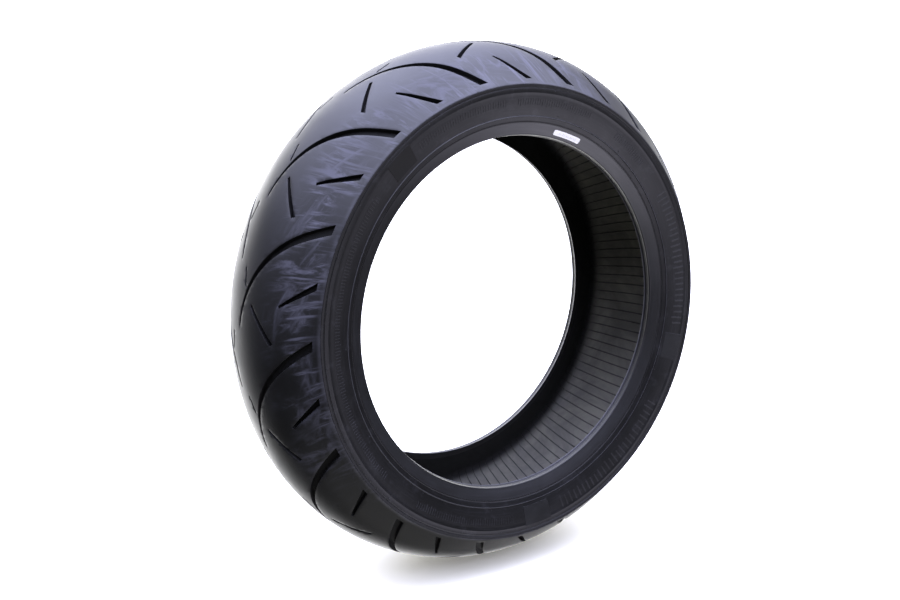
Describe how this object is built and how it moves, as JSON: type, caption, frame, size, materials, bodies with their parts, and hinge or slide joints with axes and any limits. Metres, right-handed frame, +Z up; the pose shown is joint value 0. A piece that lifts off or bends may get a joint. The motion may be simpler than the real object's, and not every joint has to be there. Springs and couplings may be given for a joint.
{
  "type": "motorcycle tire",
  "caption": "Directional radial rear motorcycle tyre with a rounded crown, curved tread grooves and open beads that seal on a wheel rim.",
  "frame": {"origin": "centre of the wheel, on the axle, midway between the beads", "axes": "+Y along the axle, towards the tyre's left, +Z up, +X forwards along the ground"},
  "size_m": [0.6518, 0.196, 0.6518],
  "materials": {
    "tread_rubber": "satin tread rubber",
    "sidewall_rubber": "matte moulded rubber",
    "bead_rubber": "smooth hard rubber",
    "liner_rubber": "smooth butyl rubber",
    "base_rubber": "soft rubber",
    "belt_cord": "steel cord in rubber",
    "fabric_cord": "textile cord in rubber",
    "bead_wire": "bronze-coated steel wire",
    "label_paper": "matt white paper sticker"
  },
  "bodies": {
    "root": {"tread_cap": "tread_rubber", "tread_base": "base_rubber", "tread_wing_left": "sidewall_rubber", "tread_wing_right": "sidewall_rubber", "shoulder_cushion_left": "base_rubber", "shoulder_cushion_right": "base_rubber", "sidewall_left": "sidewall_rubber", "sidewall_right": "sidewall_rubber", "chafer_left": "bead_rubber", "chafer_right": "bead_rubber", "bead_filler_left": "base_rubber", "bead_filler_right": "base_rubber", "inner_liner": "liner_rubber", "zero_degree_belt": "belt_cord", "breaker_belt": "fabric_cord", "carcass_ply_outer": "fabric_cord", "carcass_ply_inner": "fabric_cord", "bead_core_left": "bead_wire", "bead_core_right": "bead_wire", "bead_wrap_left": "fabric_cord", "bead_wrap_right": "fabric_cord", "barcode_label": "label_paper"}
  },
  "joints": []
}
